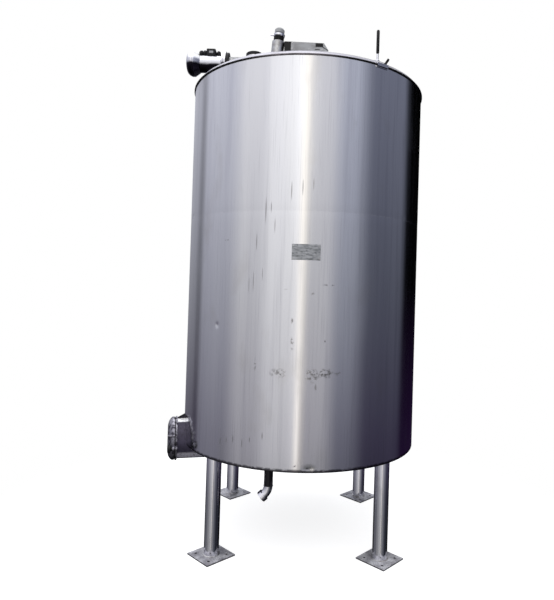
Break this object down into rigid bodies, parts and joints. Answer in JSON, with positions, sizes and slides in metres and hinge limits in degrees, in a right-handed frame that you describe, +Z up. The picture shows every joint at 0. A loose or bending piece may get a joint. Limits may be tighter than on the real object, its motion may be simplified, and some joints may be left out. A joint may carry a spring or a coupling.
{
  "type": "vertical storage tank",
  "caption": "Upright round stainless storage tank on pipe legs with a side clean-out cover, bottom outlet, roof fittings and a stirrer drive.",
  "frame": {"origin": "on the floor under the middle of the whole object's outline; the tank's own axis stands at x = +0.046 m", "axes": "+Z up along the tank's axis, -Y to the front with the nameplate, -X to the side with the clean-out nozzle and the drive motor"},
  "size_m": [1.6294, 1.5376, 3.217],
  "materials": {
    "stainless_sheet": "rolled stainless sheet with vertical streaks and scuffs",
    "stainless_pipe": "drawn stainless pipe",
    "weathered_plate": "stained flat plate",
    "cast_stainless": "machined and cast stainless",
    "black_rubber": "black seal rubber",
    "black_plastic": "black moulded plastic",
    "grey_paint": "grey machine paint",
    "etched_plate": "worn bare plate",
    "grey_enclosure": "grey instrument enclosure"
  },
  "bodies": {
    "tank": {"shell_lower_front": "stainless_sheet", "shell_lower_left": "stainless_sheet", "shell_lower_back": "stainless_sheet", "shell_lower_right": "stainless_sheet", "shell_upper_front": "stainless_sheet", "shell_upper_left": "stainless_sheet", "shell_upper_back": "stainless_sheet", "shell_upper_right": "stainless_sheet", "bottom_head": "stainless_sheet", "roof_head": "stainless_sheet", "top_rim_bead": "black_rubber", "leg_front_left": "stainless_pipe", "leg_front_right": "stainless_pipe", "leg_rear_right": "stainless_pipe", "leg_rear_left": "stainless_pipe", "base_plate_front_left": "weathered_plate", "base_plate_front_right": "weathered_plate", "base_plate_rear_right": "weathered_plate", "base_plate_rear_left": "weathered_plate", "nozzle_neck": "stainless_sheet", "nozzle_gusset": "stainless_sheet", "nozzle_flange": "cast_stainless", "nozzle_gasket": "black_rubber", "hinge_bracket": "cast_stainless", "hinge_pin": "stainless_pipe", "nameplate": "etched_plate", "outlet_stub": "stainless_pipe", "outlet_elbow": "stainless_pipe", "outlet_ferrule": "stainless_pipe", "drive_stand": "cast_stainless", "gearbox": "grey_paint", "motor_flange": "black_plastic", "motor_body": "stainless_sheet", "motor_cowl": "stainless_sheet", "terminal_box": "black_plastic", "fitting_stem": "stainless_pipe", "fitting_collar": "black_rubber", "fitting_clamp": "cast_stainless", "fitting_cap": "grey_enclosure", "instrument_housing": "grey_enclosure", "instrument_end": "black_plastic", "port_neck": "stainless_sheet", "port_cap": "black_plastic", "rim_strap": "stainless_sheet", "rod_core": "stainless_pipe", "rod_grip": "black_plastic", "rim_tab": "black_plastic"},
    "cover": {"cover": "stainless_sheet", "cover_hinge_leaf": "cast_stainless", "clamp_knob": "black_plastic"}
  },
  "joints": [
    {"name": "cover_hinge", "type": "hinge", "parent": "tank", "child": "cover", "pos_m": [-0.79611, -0.04506, 0.599], "axis": [0, 0, -1], "range_deg": [0, 110]}
  ]
}
